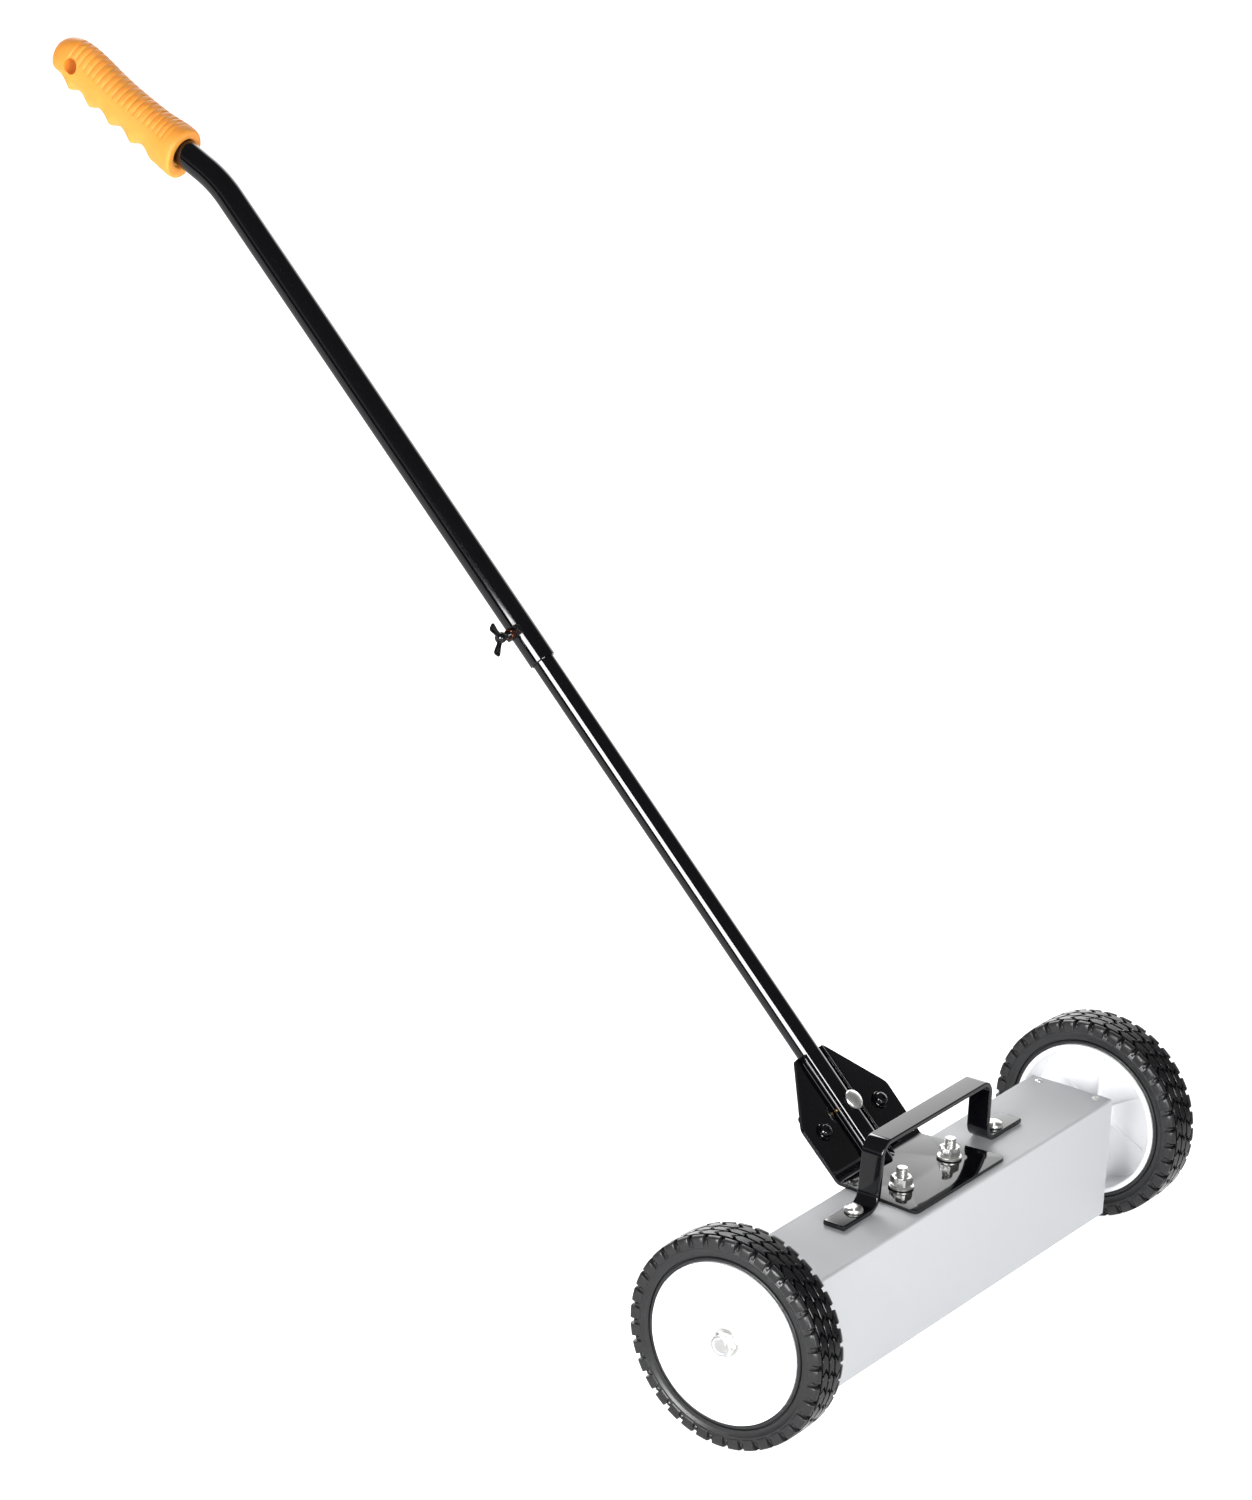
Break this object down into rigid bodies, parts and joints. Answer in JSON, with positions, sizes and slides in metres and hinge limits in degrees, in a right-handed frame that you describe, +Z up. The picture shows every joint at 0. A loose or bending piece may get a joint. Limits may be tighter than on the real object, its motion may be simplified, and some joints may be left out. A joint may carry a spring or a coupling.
{
  "type": "magnetic sweeper",
  "caption": "Push-along magnetic nail sweeper: a sheet-metal magnet housing slung between two wheels, with a leaning telescoping handle and a strap for carrying.",
  "frame": {"origin": "on the floor, under the middle of the whole object's box", "axes": "+X along the axle towards the right wheel, +Y from the housing towards the hand grip, +Z up"},
  "size_m": [0.601, 1.0386, 0.923],
  "materials": {
    "silver_sheet": "satin silver, faintly speckled",
    "ferrite": "matte ceramic",
    "bare_steel": "rolled",
    "black_gloss": "gloss powder coat",
    "zinc_plate": "bright zinc plate",
    "brass": "dull",
    "copper_plate": "copper-coloured plate",
    "tyre": "matte with a block tread",
    "white_plastic": "moulded, satin",
    "grip_plastic": "moulded, satin"
  },
  "bodies": {
    "housing": {"housing_shell": "silver_sheet", "end_plate_left": "silver_sheet", "end_plate_right": "silver_sheet", "bottom_cover": "silver_sheet", "backing_plate": "bare_steel", "magnet_1": "ferrite", "magnet_2": "ferrite", "magnet_3": "ferrite", "magnet_4": "ferrite", "magnet_5": "ferrite", "magnet_6": "ferrite", "top_rivet_left_front": "zinc_plate", "top_rivet_left_back": "zinc_plate", "top_rivet_right_front": "zinc_plate", "top_rivet_right_back": "zinc_plate", "cover_rivet_left": "zinc_plate", "cover_rivet_right": "zinc_plate", "axle_rod": "zinc_plate", "axle_spacer_left": "zinc_plate", "axle_spacer_right": "zinc_plate", "axle_washer_left": "zinc_plate", "axle_washer_right": "zinc_plate", "axle_nut_left": "zinc_plate", "axle_nut_right": "zinc_plate", "bracket_plate": "black_gloss", "clamp_channel": "black_gloss", "channel_bolt": "zinc_plate", "channel_bolt_nut": "zinc_plate", "locating_screw": "brass", "bracket_washer_left": "black_gloss", "bracket_washer_right": "black_gloss", "bracket_screw_left": "black_gloss", "bracket_screw_right": "black_gloss", "bracket_screw_nut_left": "zinc_plate", "bracket_screw_nut_right": "zinc_plate", "plate_bolt_left": "zinc_plate", "plate_bolt_right": "zinc_plate", "plate_washer_left": "zinc_plate", "plate_washer_right": "zinc_plate", "plate_nut_left": "zinc_plate", "plate_nut_right": "zinc_plate", "carry_handle": "black_gloss", "carry_screw_left": "zinc_plate", "carry_screw_right": "zinc_plate", "carry_screw_nut_left": "zinc_plate", "carry_screw_nut_right": "zinc_plate", "lower_tube": "black_gloss"},
    "left_wheel": {"tyre_left": "tyre", "hub_left": "white_plastic", "hub_bush_left": "white_plastic"},
    "right_wheel": {"tyre_right": "tyre", "hub_right": "white_plastic", "hub_bush_right": "white_plastic"},
    "handle": {"upper_tube": "black_gloss", "grip": "grip_plastic", "clamp_boss": "black_gloss", "jam_nut": "copper_plate"},
    "clamp_screw": {"wing_screw": "black_gloss"}
  },
  "joints": [
    {"name": "left_wheel_spin", "type": "hinge", "parent": "housing", "child": "left_wheel", "pos_m": [-0.2775, -0.43033, 0.089], "axis": [1, 0, 0], "continuous": true},
    {"name": "right_wheel_spin", "type": "hinge", "parent": "housing", "child": "right_wheel", "pos_m": [0.2775, -0.43033, 0.089], "axis": [1, 0, 0], "continuous": true},
    {"name": "handle_slide", "type": "slide", "parent": "housing", "child": "handle", "axis": [0, 0.7181, 0.6959], "range_m": [-0.38, 0.04]},
    {"name": "wing_screw_turn", "type": "hinge", "parent": "handle", "child": "clamp_screw", "pos_m": [-0.031, -0.00077, 0.49981], "axis": [1, 0, 0], "continuous": true}
  ]
}
